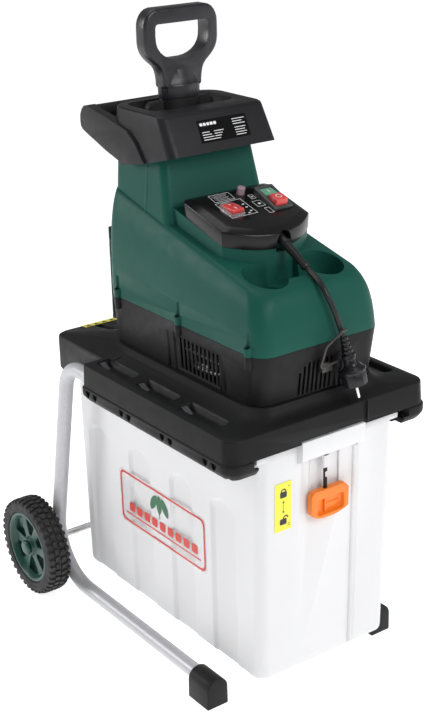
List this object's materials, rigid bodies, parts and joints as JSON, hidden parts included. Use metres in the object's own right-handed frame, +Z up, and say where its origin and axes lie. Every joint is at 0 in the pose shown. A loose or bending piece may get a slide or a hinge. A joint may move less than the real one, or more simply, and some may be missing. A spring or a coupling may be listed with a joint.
{
  "type": "wood chipper",
  "caption": "Electric garden wood chipper on a tubular two-wheeled frame, with a green motor housing, rear feed hopper with a pusher, and a white pull-out collection box.",
  "frame": {"origin": "on the floor, under the middle of the machine's bounding box, measured with its cord", "axes": "+X to the machine's right seen from the front, +Y from the front with the latch towards the wheels at the back, +Z up"},
  "size_m": [0.473, 0.6752, 1.035],
  "materials": {
    "base_plastic": "moulded charcoal black, fine texture",
    "tube_paint": "silver-grey powder coat on steel tube",
    "cap_plastic": "black",
    "zinc": "zinc plated",
    "tyre_black": "black moulded tread",
    "hub_green": "dark green",
    "bin_white": "milky white, slightly translucent",
    "latch_orange": "orange",
    "label_yellow": "printed yellow sticker",
    "label_grey": "printed clear sticker",
    "label_black": "printed black sticker",
    "housing_green": "dark green, fine texture",
    "screw_steel": "blackened steel",
    "panel_black": "glossy black",
    "button_green": "green",
    "button_red": "red",
    "clear_plastic": "clear, tinted",
    "cord_black": "black flexible sheath",
    "pin_metal": "nickel plated brass",
    "hook_wire": "dark coated wire",
    "steel": "sheet and machined steel",
    "motor_metal": "grey",
    "capacitor_can": "drawn can"
  },
  "bodies": {
    "frame": {"base_chassis": "base_plastic", "leg_tube_left": "tube_paint", "leg_tube_right": "tube_paint", "foot_cap_left": "cap_plastic", "foot_cap_right": "cap_plastic", "axle": "zinc", "lower_housing": "base_plastic", "upper_housing": "housing_green", "hopper_collar": "base_plastic", "rear_plate": "steel", "control_box": "panel_black", "switch_plate": "panel_black", "rocker_cover": "clear_plastic", "strain_relief": "cord_black", "power_cord": "cord_black", "plug_body": "cord_black", "plug_pin_1": "pin_metal", "plug_pin_2": "pin_metal", "cord_hook": "hook_wire", "rating_label": "label_black", "base_label": "label_yellow", "motor_bracket": "steel", "motor_body": "motor_metal", "feed_ramp": "steel", "motor_capacitor": "capacitor_can", "safety_switch": "cap_plastic", "housing_screw_left_1": "screw_steel", "housing_screw_left_2": "screw_steel", "housing_screw_left_3": "screw_steel", "housing_screw_right_1": "screw_steel", "housing_screw_right_2": "screw_steel", "housing_screw_right_3": "screw_steel"},
    "wheel_left": {"wheel_tyre_left": "tyre_black", "wheel_hub_left": "hub_green", "hub_cap_left": "hub_green"},
    "wheel_right": {"wheel_tyre_right": "tyre_black", "wheel_hub_right": "hub_green", "hub_cap_right": "hub_green"},
    "bin": {"collection_box": "bin_white", "latch_label": "label_yellow", "side_label": "label_grey"},
    "latch": {"latch_slider": "latch_orange", "latch_tongue": "cap_plastic"},
    "pusher": {"pusher_handle": "base_plastic", "pusher_paddle": "base_plastic"},
    "rotor": {"motor_shaft": "steel", "cooling_fan": "cap_plastic", "cutting_disc": "steel", "knife_1": "steel", "knife_2": "steel", "disc_bolt": "screw_steel"},
    "start": {"start_button": "button_green"},
    "stop": {"stop_button": "button_red"},
    "reset": {"reset_button": "clear_plastic"},
    "rocker": {"selector_rocker": "button_red"}
  },
  "joints": [
    {"name": "wheel_left_spin", "type": "hinge", "parent": "frame", "child": "wheel_left", "pos_m": [-0.2115, 0.2404, 0.089], "axis": [1, 0, 0], "continuous": true},
    {"name": "wheel_right_spin", "type": "hinge", "parent": "frame", "child": "wheel_right", "pos_m": [0.2115, 0.2404, 0.089], "axis": [1, 0, 0], "continuous": true},
    {"name": "bin_slide", "type": "slide", "parent": "frame", "child": "bin", "axis": [0, -1, 0], "range_m": [0, 0.5]},
    {"name": "latch_slide", "type": "slide", "parent": "bin", "child": "latch", "axis": [0, 0, 1], "range_m": [0, 0.034]},
    {"name": "pusher_slide", "type": "slide", "parent": "frame", "child": "pusher", "axis": [0, 0, 1], "range_m": [0, 0.3]},
    {"name": "rotor_spin", "type": "hinge", "parent": "frame", "child": "rotor", "pos_m": [0, -0.1314, 0.5], "axis": [0, 0, 1], "continuous": true},
    {"name": "start_press", "type": "slide", "parent": "frame", "child": "start", "axis": [0, 0.2607, -0.9654], "range_m": [0, 0.0025], "stiffness_N_per_m": 400},
    {"name": "stop_press", "type": "slide", "parent": "frame", "child": "stop", "axis": [0, 0.2607, -0.9654], "range_m": [0, 0.003], "stiffness_N_per_m": 400},
    {"name": "reset_press", "type": "slide", "parent": "frame", "child": "reset", "axis": [0, 0.2607, -0.9654], "range_m": [0, 0.003], "stiffness_N_per_m": 400},
    {"name": "rocker_tilt", "type": "hinge", "parent": "frame", "child": "rocker", "pos_m": [-0.033, -0.12873, 0.75443], "axis": [1, 0, 0], "range_deg": [0, 24]}
  ]
}
